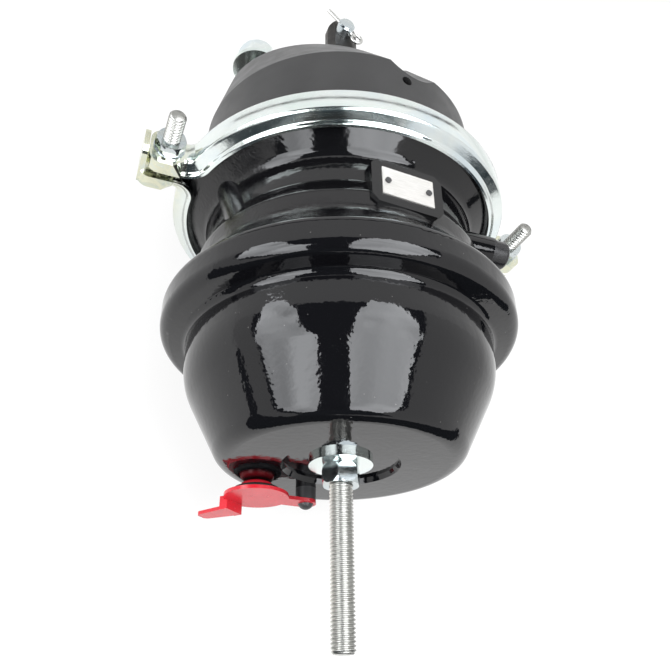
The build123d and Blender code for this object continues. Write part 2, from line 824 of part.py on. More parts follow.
pieces = {
    "spring_head": spring_head(),
    "power_spring": power_spring(),
    "pressure_plate": pressure_plate(),
    "spring_diaphragm": diaphragm(
        crimp_seat,
        plate_top + gap,
        crimp_r - crimp_sheet - bead_inset,
        lower_bore_r,
        plate_r,
    ),
    "center_housing": center_housing(),
    "rod_bushing": rod_bushing(),
    "adapter_rod": adapter_rod(),
    "adapter_return_spring": adapter_return_spring(),
    "service_diaphragm": diaphragm(
        clamp_mid - bead_thickness / 2,
        hub_top + 2 * gap + adapter_head_thickness,
        flange_r - bead_inset,
        upper_bore_r,
        push_plate_r + diaphragm_overlap,
    ),
    "push_plate": push_plate(),
    "push_rod": push_rod(),
    "service_return_spring": service_return_spring(),
    "dust_seal": dust_seal(),
    "service_housing": service_housing(),
    "mounting_studs": pair_along_x(mounting_stud(), stud_spacing),
    "mounting_washers": pair_along_x(
        tube(stud_washer_r, stud_r + gap, stud_washer_low, stud_nut_low), stud_spacing
    ),
    "mounting_nuts": pair_along_x(
        nut_with_bore(stud_nut_across_flats, stud_thread_root_r, stud_nut_low, stud_end), stud_spacing
    ),
    "clamp_half_front": clamp_half_front(),
    "clamp_half_rear": clamp_half_rear(),
    "clamp_bolts": on_clamp_bolts(clamp_bolt()),
    "clamp_nuts": on_clamp_bolts(clamp_nut()),
    "clevis": clevis(),
    "jam_nut": jam_nut(),
    "clevis_pin": clevis_pin(),
    "cotter_pin": cotter_pin(),
    "caging_bolt": caging_bolt(),
    "caging_washer": caging_washer(),
    "caging_nut": nut_with_bore(caging_nut_across_flats, caging_bolt_r + running_fit, -caging_nut_height, 0),
    "end_cap": end_cap(),
    "cap_seal_ring": cap_seal_ring(),
    "tether_post": tether_post(),
    "name_plate": name_plate(),
    "plate_rivets": plate_rivets(),
    "port_plugs": port_plugs(),
}

for name, shape in pieces.items():
    export_step(placed(shape), f"parts/{name}.step")
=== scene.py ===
from math import cos, pi, radians, sin

import bmesh
import bpy
from mathutils import Matrix, Vector


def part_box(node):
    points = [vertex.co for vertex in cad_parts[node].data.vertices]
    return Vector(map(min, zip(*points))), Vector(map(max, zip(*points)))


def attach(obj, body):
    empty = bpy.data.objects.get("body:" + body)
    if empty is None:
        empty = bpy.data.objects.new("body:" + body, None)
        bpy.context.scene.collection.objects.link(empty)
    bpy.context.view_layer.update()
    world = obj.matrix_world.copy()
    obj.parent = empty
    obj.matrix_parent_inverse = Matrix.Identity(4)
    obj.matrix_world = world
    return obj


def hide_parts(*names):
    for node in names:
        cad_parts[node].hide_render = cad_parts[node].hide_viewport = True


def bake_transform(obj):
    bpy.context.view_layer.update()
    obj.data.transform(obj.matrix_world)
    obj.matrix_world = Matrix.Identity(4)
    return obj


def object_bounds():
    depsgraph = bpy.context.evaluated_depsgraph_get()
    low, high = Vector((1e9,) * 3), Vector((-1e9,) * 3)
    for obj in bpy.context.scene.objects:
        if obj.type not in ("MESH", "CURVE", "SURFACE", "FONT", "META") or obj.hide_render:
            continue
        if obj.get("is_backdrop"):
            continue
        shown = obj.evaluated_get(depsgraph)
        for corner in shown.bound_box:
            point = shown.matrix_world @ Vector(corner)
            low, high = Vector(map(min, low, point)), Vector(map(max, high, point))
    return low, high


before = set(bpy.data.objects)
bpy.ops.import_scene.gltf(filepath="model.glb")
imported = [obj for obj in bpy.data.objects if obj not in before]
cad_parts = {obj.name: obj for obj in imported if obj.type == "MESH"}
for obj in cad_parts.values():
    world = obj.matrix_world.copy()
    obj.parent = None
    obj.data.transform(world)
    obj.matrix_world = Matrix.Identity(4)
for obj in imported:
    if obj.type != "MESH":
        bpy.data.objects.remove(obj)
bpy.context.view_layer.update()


# helpers for nodes and objects

class NodeSheet:  # short ways to add and wire nodes in one tree
    def __init__(self, tree):
        self.tree = tree

    def add(self, kind, **settings):
        node = self.tree.nodes.new(kind)
        for name, value in settings.items():
            setattr(node, name, value)
        return node

    def wire(self, source, target):  # a number, colour or vector is set on the socket itself
        if isinstance(source, (int, float, tuple, Vector)):
            target.default_value = source
        else:
            self.tree.links.new(source, target)

    def math(self, operation, a, b=0.0):
        node = self.add("ShaderNodeMath", operation=operation)
        self.wire(a, node.inputs[0])
        self.wire(b, node.inputs[1])
        return node.outputs[0]

    def clamp(self, value, low, high):
        return self.math("MINIMUM", self.math("MAXIMUM", value, low), high)

    def point(self, stretch=(1, 1, 1)):  # the piece's own coordinates, stretched for brushed or turned marks
        mapping = self.add("ShaderNodeMapping")
        mapping.inputs["Scale"].default_value = stretch
        self.wire(self.add("ShaderNodeTexCoord").outputs["Object"], mapping.inputs["Vector"])
        return mapping.outputs["Vector"]

    def split(self, point):
        parts = self.add("ShaderNodeSeparateXYZ")
        self.wire(point, parts.inputs[0])
        return parts.outputs

    def cloud(self, point, scale, detail=2.0, roughness=0.5, distortion=0.0):
        noise = self.add("ShaderNodeTexNoise")
        for name, value in (("Scale", scale), ("Detail", detail), ("Roughness", roughness), ("Distortion", distortion)):
            noise.inputs[name].default_value = value
        self.wire(point, noise.inputs["Vector"])
        return noise.outputs["Fac"]

    def tint(self, factor, stops):  # stops are (place, colour)
        ramp = self.add("ShaderNodeValToRGB")
        elements = ramp.color_ramp.elements
        while len(elements) < len(stops):
            elements.new(0.5)
        for element, (place, colour) in zip(elements, stops):
            element.position = place
            element.color = (*colour, 1)
        self.wire(factor, ramp.inputs["Fac"])
        return ramp.outputs["Color"]

    def remap(self, value, start, end, low, high, way):
        node = self.add("ShaderNodeMapRange", interpolation_type=way)
        for name, number in (("From Min", start), ("From Max", end), ("To Min", low), ("To Max", high)):
            node.inputs[name].default_value = number
        self.wire(value, node.inputs["Value"])
        return node.outputs["Result"]

    def spread(self, factor, low, high, start=0.3, end=0.7):  # noise mostly lies between 0.3 and 0.7
        return self.remap(factor, start, end, low, high, "LINEAR")

    def ease(self, value, start, end, top=1.0):  # a soft step from 0 at start to top at end
        return self.remap(value, start, end, 0.0, top, "SMOOTHSTEP")

    def blend(self, share, first, second):
        mix = self.add("ShaderNodeMix", data_type="RGBA")
        self.wire(share, mix.inputs["Factor"])
        self.wire(first, mix.inputs["A"])
        self.wire(second, mix.inputs["B"])
        return mix.outputs["Result"]

    def relief(self, shader, layers):  # layers are (height, depth in metres)
        normal = None
        for height, depth in layers:
            bump = self.add("ShaderNodeBump")
            bump.inputs["Distance"].default_value = depth
            self.wire(height, bump.inputs["Height"])
            if normal is not None:
                self.wire(normal, bump.inputs["Normal"])
            normal = bump.outputs["Normal"]
        self.wire(normal, shader.inputs["Normal"])


def newFinish(name, base, roughness, metal=0.0):
    material = bpy.data.materials.new(name)
    material.use_nodes = True
    shader = material.node_tree.nodes["Principled BSDF"]
    shader.inputs["Base Color"].default_value = (*base, 1)
    shader.inputs["Roughness"].default_value = roughness
    shader.inputs["Metallic"].default_value = metal
    return material, NodeSheet(material.node_tree), shader


def emptyFinish(name):  # a material with no nodes yet
    material = bpy.data.materials.new(name)
    material.use_nodes = True
    material.node_tree.nodes.clear()
    return material, NodeSheet(material.node_tree)


def placed(name, data):  # a new object in the scene, at the origin
    thing = bpy.data.objects.new(name, data)
    bpy.context.scene.collection.objects.link(thing)
    return thing


# enamels; a cloud is (scale, detail, roughness, distortion)

headEnamel = {"ink": (0.0032, 0.0032, 0.0040), "roughness": 0.04, "sheenCloud": (120, 3), "sheen": (0.03, 0.07),
              "relief": [((38, 1.0), 0.00013), ((300, 1.0), 0.00007), ((820, 1.0), 0.000014)],
              "dustScale": 150, "dustSize": 0.045, "dust": (0.22, 0.22, 0.21)}


def bakedGlossBlack(s):  # thick gloss enamel: orange peel and a few dust specks
    material, n, shader = newFinish("bakedGlossBlack", s["ink"], s["roughness"])
    point = n.point()
    n.relief(shader, [(n.cloud(point, *cloud), depth) for cloud, depth in s["relief"]])
    n.wire(n.spread(n.cloud(point, *s["sheenCloud"]), *s["sheen"]), shader.inputs["Roughness"])
    dust = n.add("ShaderNodeTexVoronoi")
    dust.inputs["Scale"].default_value = s["dustScale"]
    n.wire(point, dust.inputs["Vector"])
    specks = n.tint(dust.outputs["Distance"], [(0.0, s["dust"]), (s["dustSize"], s["ink"])])
    n.wire(specks, shader.inputs["Base Color"])
    return material


castingEnamel = {"ink": (0.0036, 0.0036, 0.0042), "roughness": 0.06, "sheenCloud": (150, 3), "sheen": (0.04, 0.09),
                 "relief": [((30, 1), 0.00012), ((260, 1), 0.00006)],
                 "foot": (-0.156, -0.146),  # rough where it meets the crimped flange, along Y
                 "ribEnd": (-0.074, -0.060),  # and round the passage rib, along X
                 "roughShare": 0.75, "patchCloud": (30, 2, 0.6, 0.4), "patches": (0.25, 1.0, 0.42, 0.60),
                 "grainCloud": (560, 3, 0.65), "grainDepth": 0.00042, "patchDulling": 0.10}


def paintedCasting(s):  # the same enamel over a sand casting, whose grain shows through in patches
    material, n, shader = newFinish("paintedCasting", s["ink"], s["roughness"])
    point = n.point()
    place = n.split(point)
    foot = n.spread(place["Y"], 1.0, 0.0, *s["foot"])
    ribEnd = n.spread(place["X"], 1.0, 0.0, *s["ribEnd"])
    rough = n.math("MULTIPLY", n.math("MAXIMUM", foot, ribEnd), s["roughShare"])
    patches = n.math("MULTIPLY", rough, n.spread(n.cloud(point, *s["patchCloud"]), *s["patches"]))
    grain = n.math("MULTIPLY", n.cloud(point, *s["grainCloud"]), patches)
    smooth = [(n.cloud(point, *cloud), depth) for cloud, depth in s["relief"]]
    n.relief(shader, smooth + [(grain, s["grainDepth"])])
    sheen = n.spread(n.cloud(point, *s["sheenCloud"]), *s["sheen"])
    n.wire(n.math("ADD", sheen, n.math("MULTIPLY", patches, s["patchDulling"])), shader.inputs["Roughness"])
    return material


# zinc plating

plating = {"base": (0.6, 0.62, 0.62), "roughness": 0.2, "driftStretch": (1, 2.6, 1), "drift": (16, 4, 0.5, 0.5),
           "sheenCloud": (190, 4, 0.6), "relief": [((60, 2), 0.00012), ((700, 3, 0.6), 0.00002)],
           # the last three numbers set the painted shade in the thread roots
           "grooveBend": 0.8, "grooveShare": 0.95, "rootShadeBlue": 0.95}
ears = {"start": 0.096, "end": 0.113, "share": 0.75, "cloud": (90, 4, 0.6, 0.8),
        "stops": [(0.32, (0.46, 0.52, 0.44)), (0.5, (0.70, 0.68, 0.46)), (0.68, (0.60, 0.66, 0.60))]}
rolledBand = {"middle": -0.0981, "flatHalf": 0.0065, "crown": 0.55, "legSlope": 240, "lipStart": 0.0097,
              "lipEnd": 0.0110, "lip": 1.6, "earStart": 0.103, "earEnd": 0.110, "unit": 0.001}
bandStops = [(0.30, (0.70, 0.79, 0.83)), (0.45, (0.82, 0.87, 0.85)), (0.58, (0.76, 0.84, 0.81)),
             (0.72, (0.85, 0.86, 0.78))]
boltStops = [(0.30, (0.48, 0.55, 0.61)), (0.45, (0.62, 0.66, 0.66)), (0.56, (0.54, 0.60, 0.62)),
             (0.70, (0.64, 0.64, 0.58))]
rodStops = [(0.30, (0.78, 0.78, 0.74)), (0.50, (0.88, 0.88, 0.83)), (0.70, (0.84, 0.81, 0.73))]
paleStops = [(0.30, (0.72, 0.80, 0.81)), (0.48, (0.80, 0.84, 0.80)), (0.60, (0.76, 0.80, 0.76)),
             (0.72, (0.82, 0.80, 0.68))]
zincs = {  # tints, sheen from and to, the colour of the painted shade in the thread roots, and whether it is a rolled clamp band
    "bandZinc": {"stops": bandStops, "sheen": (0.10, 0.18), "rootShade": 0.05, "rolled": True},
    "brightZinc": {"stops": bandStops, "sheen": (0.12, 0.22), "rootShade": 0.05, "rolled": False},
    "boltZinc": {"stops": boltStops, "sheen": (0.12, 0.24), "rootShade": 0.05, "rolled": False},
    "threadZinc": {"stops": rodStops, "sheen": (0.30, 0.42), "rootShade": 0.34, "rolled": False},
    "rodZinc": {"stops": rodStops, "sheen": (0.30, 0.42), "rootShade": 0.40, "rolled": False},
    "paleZinc": {"stops": paleStops, "sheen": (0.12, 0.22), "rootShade": 0.05, "rolled": True},
}


def zincPlating(name, s):  # bright plating, its passivation drifting between tints
    material, n, shader = newFinish(name, plating["base"], plating["roughness"], 1.0)
    point = n.point()
    colour = n.tint(n.cloud(n.point(plating["driftStretch"]), *plating["drift"]), s["stops"])
    layers = [(n.cloud(point, *cloud), depth) for cloud, depth in plating["relief"]]
    if s["rolled"]:
        colour = yellowEars(n, point, colour, ears)
        layers.insert(0, (rolledBandShape(n, point, rolledBand), rolledBand["unit"]))
    # the thread roots get painted shade
    n.wire(paintedRootShade(n, colour, s["rootShade"]), shader.inputs["Base Color"])
    n.wire(n.spread(n.cloud(point, *plating["sheenCloud"]), *s["sheen"]), shader.inputs["Roughness"])
    n.relief(shader, layers)
    return material


def yellowEars(n, point, clean, s):  # the passivation pools yellow-green on the ears
    out = n.ease(n.math("ABSOLUTE", n.split(point)["X"]), s["start"], s["end"])
    pooled = n.tint(n.cloud(point, *s["cloud"]), s["stops"])
    return n.blend(n.math("MULTIPLY", out, s["share"]), clean, pooled)


def rolledBandShape(n, point, s):  # the pressed band's crown, sunk legs and turned lip, in millimetres
    place = n.split(point)
    away = n.math("ABSOLUTE", n.math("SUBTRACT", place["Y"], s["middle"]))
    part = n.math("MINIMUM", n.math("DIVIDE", away, s["flatHalf"]), 1.0)
    crown = n.math("MULTIPLY", n.math("POWER", part, 2.0), -s["crown"])
    leg = n.math("MULTIPLY", n.math("MAXIMUM", n.math("SUBTRACT", away, s["flatHalf"]), 0.0), -s["legSlope"])
    lip = n.ease(away, s["lipStart"], s["lipEnd"], s["lip"])
    onBand = n.ease(n.math("ABSOLUTE", place["X"]), s["earEnd"], s["earStart"])
    return n.math("MULTIPLY", n.math("ADD", n.math("ADD", crown, leg), lip), onBand)


def paintedRootShade(n, clean, rootShade):  # painted shade in the thread roots: threads carry a groove value, 1 at the root and 0 at the crest, and the colour is darkened towards the given shade there
    groove = n.add("ShaderNodeAttribute", attribute_name="groove").outputs["Fac"]
    share = n.math("MULTIPLY", n.math("POWER", groove, plating["grooveBend"]), plating["grooveShare"])
    return n.blend(share, clean, (rootShade, rootShade, rootShade * plating["rootShadeBlue"], 1))


# plainer finishes, whose tint, sheen and relief each follow clouds of noise

def machinedSteel(base, low, high, stretch):  # fine turning marks round the axis that is stretched least
    return {"base": base, "roughness": low, "metal": 1.0, "stretch": stretch, "sheen": ((80, 4), low, high),
            "relief": [((900, 3, 0.6), 0.00002)]}


def mouldedPlastic(base, roughness, depth):
    darker = tuple(part * 0.9 for part in base)
    return {"base": base, "roughness": roughness, "ior": 1.52, "tint": ((70, 3), [(0.35, darker), (0.65, base)]),
            "sheen": ((200, 3), roughness * 0.8, roughness * 1.25),
            "relief": [((110, 2), depth), ((1300, 2), depth * 0.08)]}


plainFinishes = {
    "satinCoatedSteel": {  # thin satin coat on the pressed dome
        "base": (0.021, 0.021, 0.0215), "roughness": 0.42, "sheen": ((90, 4), 0.36, 0.47),
        "tint": ((35, 4), [(0.3, (0.0185, 0.0185, 0.019)), (0.7, (0.026, 0.026, 0.0265))]),
        "relief": [((60, 2), 0.00006), ((1500, 2, 0.6), 0.00002)]},
    "blackenedSteel": {  # phosphated and oiled, nearly black with brownish wear
        "base": (0.05, 0.05, 0.05), "roughness": 0.42, "metal": 0.85, "sheen": ((240, 4), 0.32, 0.55),
        "tint": ((95, 5, 0.6), [(0.3, (0.035, 0.035, 0.036)), (0.55, (0.06, 0.058, 0.055)),
                                (0.75, (0.13, 0.115, 0.1))]),
        "relief": [((420, 4, 0.6), 0.00007)]},
    "nitrileRubber": {
        "base": (0.014, 0.014, 0.014), "roughness": 0.55,
        "tint": ((300, 4), [(0.3, (0.010, 0.010, 0.010)), (0.7, (0.022, 0.022, 0.022))]),
        "relief": [((1100, 3), 0.00003)]},
    "anodisedPlate": {  # pale, brushed lengthways
        "base": (0.60, 0.59, 0.57), "roughness": 0.38, "metal": 0.6, "stretch": (0.04, 1, 1),
        "tint": ((2600, 3, 0.6), [(0.3, (0.54, 0.53, 0.51)), (0.7, (0.68, 0.67, 0.65))]),
        "relief": [((2600, 3, 0.6), 0.00001)]},
    "turnedSteel": machinedSteel((0.52, 0.51, 0.50), 0.22, 0.36, (1, 30, 1)),
    "springSteel": machinedSteel((0.09, 0.09, 0.10), 0.35, 0.5, (1, 1, 1)),
    "cotterWire": machinedSteel((0.62, 0.62, 0.60), 0.25, 0.38, (1, 12, 1)),
    "sinteredBronze": machinedSteel((0.55, 0.36, 0.16), 0.35, 0.5, (1, 20, 1)),
    "capRed": mouldedPlastic((0.52, 0.014, 0.026), 0.22, 0.00003),
    "plugBlack": mouldedPlastic((0.012, 0.012, 0.013), 0.24, 0.00003),
    "postGrey": mouldedPlastic((0.03, 0.03, 0.032), 0.38, 0.00004),
}


def plainFinish(name, s):
    material, n, shader = newFinish(name, s["base"], s["roughness"], s.get("metal", 0.0))
    marks = n.point(s.get("stretch", (1, 1, 1)))
    if "ior" in s:
        shader.inputs["IOR"].default_value = s["ior"]
    if "tint" in s:
        cloud, stops = s["tint"]
        n.wire(n.tint(n.cloud(marks, *cloud), stops), shader.inputs["Base Color"])
    if "sheen" in s:
        cloud, low, high = s["sheen"]
        n.wire(n.spread(n.cloud(n.point(), *cloud), low, high), shader.inputs["Roughness"])
    n.relief(shader, [(n.cloud(marks, *cloud), depth) for cloud, depth in s["relief"]])
    return material


finishes = {"bakedGlossBlack": bakedGlossBlack(headEnamel), "paintedCasting": paintedCasting(castingEnamel)}
for name, settings in zincs.items():
    finishes[name] = zincPlating(name, settings)
for name, settings in plainFinishes.items():
    finishes[name] = plainFinish(name, settings)

worn = {
    "bakedGlossBlack": ["spring_head"],
    "paintedCasting": ["center_housing"],
    "satinCoatedSteel": ["service_housing"],
    "bandZinc": ["clamp_half_front"],
    "brightZinc": ["caging_washer", "mounting_washers", "mounting_nuts"],
    "boltZinc": ["mounting_studs", "clamp_bolts", "clamp_nuts", "jam_nut", "clevis_pin", "caging_nut"],
    "rodZinc": ["caging_bolt"],
    "paleZinc": ["clamp_half_rear"],
    "turnedSteel": ["adapter_rod", "push_plate", "push_rod"],
    "springSteel": ["power_spring", "pressure_plate", "adapter_return_spring", "service_return_spring"],
    "cotterWire": ["cotter_pin"],
    "sinteredBronze": ["rod_bushing"],
    "blackenedSteel": ["clevis"],
    "capRed": ["end_cap"],
    "plugBlack": ["port_plugs"],
    "postGrey": ["tether_post", "plate_rivets"],
    "nitrileRubber": ["spring_diaphragm", "service_diaphragm", "dust_seal", "cap_seal_ring"],
    "anodisedPlate": ["name_plate"],
}
for finish, nodeNames in worn.items():
    for nodeName in nodeNames:
        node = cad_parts[nodeName]
        node.data.materials.clear()
        node.data.materials.append(finishes[finish])
print("finishes on", sum(len(names) for names in worn.values()), "CAD pieces")


# screw threads, as one Geometry Nodes tree

threadForm = {"around": 36, "rowsPerTurn": 8, "rootFlat": 0.14, "flankSlope": 1.4, "endRadius": 0.96,
              "wholeTurns": 8.0, "weld": 0.000005}
barInputs = {"Crest Radius": "Float", "Root Radius": "Float", "Pitch": "Float", "Length": "Float", "Count": "Int",
             "First": "Vector", "Step": "Vector", "Finish": "Material"}


def threadedBarTree(s):
    tree = bpy.data.node_groups.new("threadedBar", "GeometryNodeTree")
    tree.interface.new_socket("Geometry", in_out="OUTPUT", socket_type="NodeSocketGeometry")
    for name, kind in barInputs.items():
        tree.interface.new_socket(name, in_out="INPUT", socket_type="NodeSocket" + kind)
    n = NodeSheet(tree)
    given = n.add("NodeGroupInput").outputs
    turns = n.math("DIVIDE", given["Length"], given["Pitch"])
    steps = n.math("ROUND", n.math("MULTIPLY", turns, float(s["rowsPerTurn"])))
    rows = n.math("ADD", steps, 3.0)  # the first and last rows are drawn in to a point
    grid = n.add("GeometryNodeMeshGrid")
    grid.inputs["Size X"].default_value = 1
    grid.inputs["Size Y"].default_value = 1
    grid.inputs["Vertices X"].default_value = s["around"] + 1
    n.wire(rows, grid.inputs["Vertices Y"])

    place = n.split(n.add("GeometryNodeInputPosition").outputs[0])
    around = n.math("ADD", place["X"], 0.5)
    row = n.math("MULTIPLY", n.math("ADD", place["Y"], 0.5), n.math("SUBTRACT", rows, 1.0))
    last = n.math("SUBTRACT", rows, 3.0)
    step = n.clamp(n.math("SUBTRACT", row, 1.0), 0.0, last)
    height = n.math("MULTIPLY", n.math("DIVIDE", step, last), given["Length"])

    turned = n.math("SUBTRACT", n.math("DIVIDE", height, given["Pitch"]), around)
    phase = n.math("FRACT", n.math("ADD", turned, s["wholeTurns"]))
    ridge = n.math("ABSOLUTE", n.math("SUBTRACT", n.math("MULTIPLY", phase, 2.0), 1.0))
    flank = n.clamp(n.math("MULTIPLY", n.math("SUBTRACT", ridge, s["rootFlat"]), s["flankSlope"]), 0.0, 1.0)
    depth = n.math("SUBTRACT", given["Crest Radius"], given["Root Radius"])
    radius = n.math("ADD", given["Root Radius"], n.math("MULTIPLY", flank, depth))
    toEnd = n.math("MINIMUM", height, n.math("SUBTRACT", given["Length"], height))
    endRadius = n.math("MULTIPLY", given["Root Radius"], s["endRadius"])
    chamfered = n.math("MINIMUM", radius, n.math("ADD", endRadius, toEnd))
    inner = n.math("MULTIPLY", n.math("GREATER_THAN", row, 0.5),
                   n.math("LESS_THAN", row, n.math("SUBTRACT", rows, 1.5)))
    radius = n.math("MULTIPLY", chamfered, inner)
    angle = n.math("MULTIPLY", around, 2 * pi)
    spot = n.add("ShaderNodeCombineXYZ")
    n.wire(n.math("MULTIPLY", radius, n.math("COSINE", angle)), spot.inputs[0])
    n.wire(n.math("MULTIPLY", radius, n.math("SINE", angle)), spot.inputs[1])
    n.wire(height, spot.inputs[2])

    bend = n.add("GeometryNodeSetPosition")
    n.wire(grid.outputs["Mesh"], bend.inputs["Geometry"])
    n.wire(spot.outputs[0], bend.inputs["Position"])
    mark = n.add("GeometryNodeStoreNamedAttribute", data_type="FLOAT", domain="POINT")
    mark.inputs["Name"].default_value = "groove"
    n.wire(n.math("SUBTRACT", 1.0, flank), mark.inputs["Value"])
    n.wire(bend.outputs[0], mark.inputs["Geometry"])
    merge = n.add("GeometryNodeMergeByDistance")
    merge.inputs["Distance"].default_value = s["weld"]
    n.wire(mark.outputs[0], merge.inputs["Geometry"])

    stand = n.add("GeometryNodeMeshLine", mode="OFFSET")
    n.wire(given["Count"], stand.inputs["Count"])
    n.wire(given["First"], stand.inputs["Start Location"])
    n.wire(given["Step"], stand.inputs["Offset"])
    copies = n.add("GeometryNodeInstanceOnPoints")
    n.wire(stand.outputs[0], copies.inputs["Points"])
    n.wire(merge.outputs[0], copies.inputs["Instance"])
    real = n.add("GeometryNodeRealizeInstances")
    n.wire(copies.outputs[0], real.inputs[0])
    dress = n.add("GeometryNodeSetMaterial")
    n.wire(real.outputs[0], dress.inputs["Geometry"])
    n.wire(given["Finish"], dress.inputs["Material"])
    n.wire(dress.outputs[0], n.add("NodeGroupOutput").inputs["Geometry"])
    return tree


barTree = threadedBarTree(threadForm)


def threadedBar(name, s, length, place, finish, count=1, first=(0, 0, 0), step=(0, 0, 0)):
    # count bars along local +Z, the first one's foot at first, as a plain mesh moved to place
    values = {"Crest Radius": s["crest"], "Root Radius": s["root"], "Pitch": s["pitch"], "Length": length,
              "Count": count, "First": first, "Step": step, "Finish": finishes[finish]}
    carrier = placed(name + "Carrier", bpy.data.meshes.new(name + "Carrier"))
    modifier = carrier.modifiers.new("nodes", "NODES")
    modifier.node_group = barTree
    for item in barTree.interface.items_tree:
        if item.in_out == "INPUT":
            modifier[item.identifier] = values[item.name]
    evaluated = carrier.evaluated_get(bpy.context.evaluated_depsgraph_get())
    mesh = bpy.data.meshes.new_from_object(evaluated)
    carrier.modifiers.remove(modifier)
    bpy.data.objects.remove(carrier)
    mesh.transform(place)
    mesh.shade_smooth()
    mesh.name = name
    return mesh


def pieceFrom(name, meshes, finish):  # several meshes joined into one piece at the origin
    form = bmesh.new()
    for mesh in meshes:
        form.from_mesh(mesh)
    joined = bpy.data.meshes.new(name)
    form.to_mesh(joined)
    form.free()
    joined.materials.clear()
    joined.materials.append(finishes[finish])
    joined.polygons.foreach_set("material_index", [0] * len(joined.polygons))
    return placed(name, joined)


def turnedMesh(name, profile, place, steps=48):  # profile is (radius, height) from one end of the axis to the other
    form = bmesh.new()
    rings = []
    for radius, height in profile:
        if radius == 0:
            rings.append([form.verts.new((0, 0, height))])
        else:
            rings.append([form.verts.new((radius * cos(2 * pi * k / steps), radius * sin(2 * pi * k / steps), height))
                          for k in range(steps)])
    for low, high in zip(rings, rings[1:]):
        for k in range(steps):
            corners = [low[k % len(low)], low[(k + 1) % len(low)], high[(k + 1) % len(high)], high[k % len(high)]]
            unique = list(dict.fromkeys(corners))
            if len(unique) > 2:
                form.faces.new(unique)
    bmesh.ops.recalc_face_normals(form, faces=form.faces)
    form.transform(place)
    mesh = bpy.data.meshes.new(name)
    form.to_mesh(mesh)
    form.free()
    return mesh


alongPushRod = Matrix.Rotation(radians(-90), 4, "X")  # local +Z becomes +Y


# caging bolt

cagingBolt = {"crest": 0.00635, "root": 0.00535, "pitch": 0.001954, "teeSink": 0.001, "teeStart": -0.2392,
              "teeEnd": -0.2332, "teeHalf": 0.010, "teeWidth": 0.009, "teeRound": 0.0008}


def makeCagingBolt(s):
    low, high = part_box("caging_bolt")
    bar = threadedBar("cagingThread", s, high.y - s["teeSink"] - low.y,
                      Matrix.Translation((0, low.y, 0)) @ alongPushRod, "rodZinc")
    tee = bmesh.new()
    bmesh.ops.create_cube(tee, size=1)
    size = Matrix.Diagonal((2 * s["teeHalf"], s["teeEnd"] - s["teeStart"], s["teeWidth"], 1))
    tee.transform(Matrix.Translation((0, (s["teeEnd"] + s["teeStart"]) / 2, 0)) @ size)
    bmesh.ops.bevel(tee, geom=tee.edges, offset=s["teeRound"], segments=2, affect="EDGES")
    teeMesh = bpy.data.meshes.new("cagingTee")
    tee.to_mesh(teeMesh)
    tee.free()
    bolt = pieceFrom("cagingBolt", [bar, teeMesh], "rodZinc")
    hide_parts("caging_bolt")
    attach(bolt, "spring_piston")


makeCagingBolt(cagingBolt)
print("caging bolt threaded")


# mounting studs, their thread showing each side of the nut

mountingStuds = {"crest": 0.0079, "root": 0.0069, "pitch": 0.002117, "spacing": 0.12065, "wall": 0.0032,
                 "threadSink": 0.0005, "headRadius": 0.0105, "headThickness": 0.005, "neckRadius": 0.0086,
                 "faceRound": 0.0008}


def makeMountingStuds(s):
    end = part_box("mounting_studs")[1].y
    parts = [threadedBar("studThread", s, end + s["threadSink"],
                         Matrix.Translation((0, -s["threadSink"], 0)) @ alongPushRod, "boltZinc", 2,
                         (-s["spacing"] / 2, 0, 0), (s["spacing"], 0, 0))]
    inner = s["wall"] + s["headThickness"]
    for side in (-1, 1):
        profile = [(0, 0), (s["neckRadius"], 0), (s["neckRadius"], s["wall"]), (s["headRadius"], s["wall"]),
                   (s["headRadius"], inner - s["faceRound"]), (s["headRadius"] - s["faceRound"], inner), (0, inner)]
        parts.append(turnedMesh("studHead", [(r, -h) for r, h in profile],
                                Matrix.Translation((side * s["spacing"] / 2, 0, 0)) @ alongPushRod))
    studs = pieceFrom("mountingStuds", parts, "boltZinc")
    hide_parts("mounting_studs")
    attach(studs, "housing")


makeMountingStuds(mountingStuds)
print("mounting studs threaded")


# push rod, threaded for its clevis and jam nut

pushRod = {"crest": 0.00785, "root": 0.0069, "pitch": 0.0015875, "threadStart": 0.002, "chamfer": 0.0008}


def makePushRod(s):
    low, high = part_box("push_rod")
    start = s["threadStart"]
    bar = threadedBar("rodThread", s, high.y - start, Matrix.Translation((0, start, 0)) @ alongPushRod, "turnedSteel")
    profile = [(0, low.y), (s["crest"], low.y), (s["crest"], start), (s["root"], start + s["chamfer"]),
               (0, start + s["chamfer"])]
    rod = pieceFrom("pushRod", [bar, turnedMesh("rodPlain", profile, alongPushRod)], "turnedSteel")
    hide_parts("push_rod")
    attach(rod, "service_rod")


makePushRod(pushRod)
print("push rod threaded")


# clamp bolts, part threaded, with low round heads

clampBolts = {"crest": 0.0049, "root": 0.0038, "pitch": 0.0022, "length": 0.0495, "plain": 0.019,
              "headRadius": 0.0067, "headHeight": 0.0036, "headSteps": 7}


def makeClampBolts(s):
    low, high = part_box("clamp_bolts")
    middle = (low.y + high.y) / 2
    left = Vector((low.x + s["headRadius"], middle, high.z - s["length"]))
    right = Vector((high.x - s["headRadius"], middle, low.z + s["headHeight"]))
    parts = [threadedBar("clampThread", s, s["length"] - s["plain"], Matrix.Identity(4), "threadZinc", 2,
                         tuple(left + Vector((0, 0, s["plain"]))), tuple(right - left))]
    angles = [pi / 2 * k / s["headSteps"] for k in range(s["headSteps"] + 1)]
    dome = [(s["headRadius"] * sin(angle), -s["headHeight"] * cos(angle)) for angle in angles]
    shank = [(s["crest"], 0), (s["crest"], s["plain"]), (0, s["plain"])]
    for foot in (left, right):
        parts.append(turnedMesh("boltShank", dome + shank, Matrix.Translation(foot)))
    bolts = pieceFrom("clampBolts", parts, "threadZinc")
    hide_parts("clamp_bolts")
    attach(bolts, "housing")


makeClampBolts(clampBolts)
print("clamp bolts threaded")
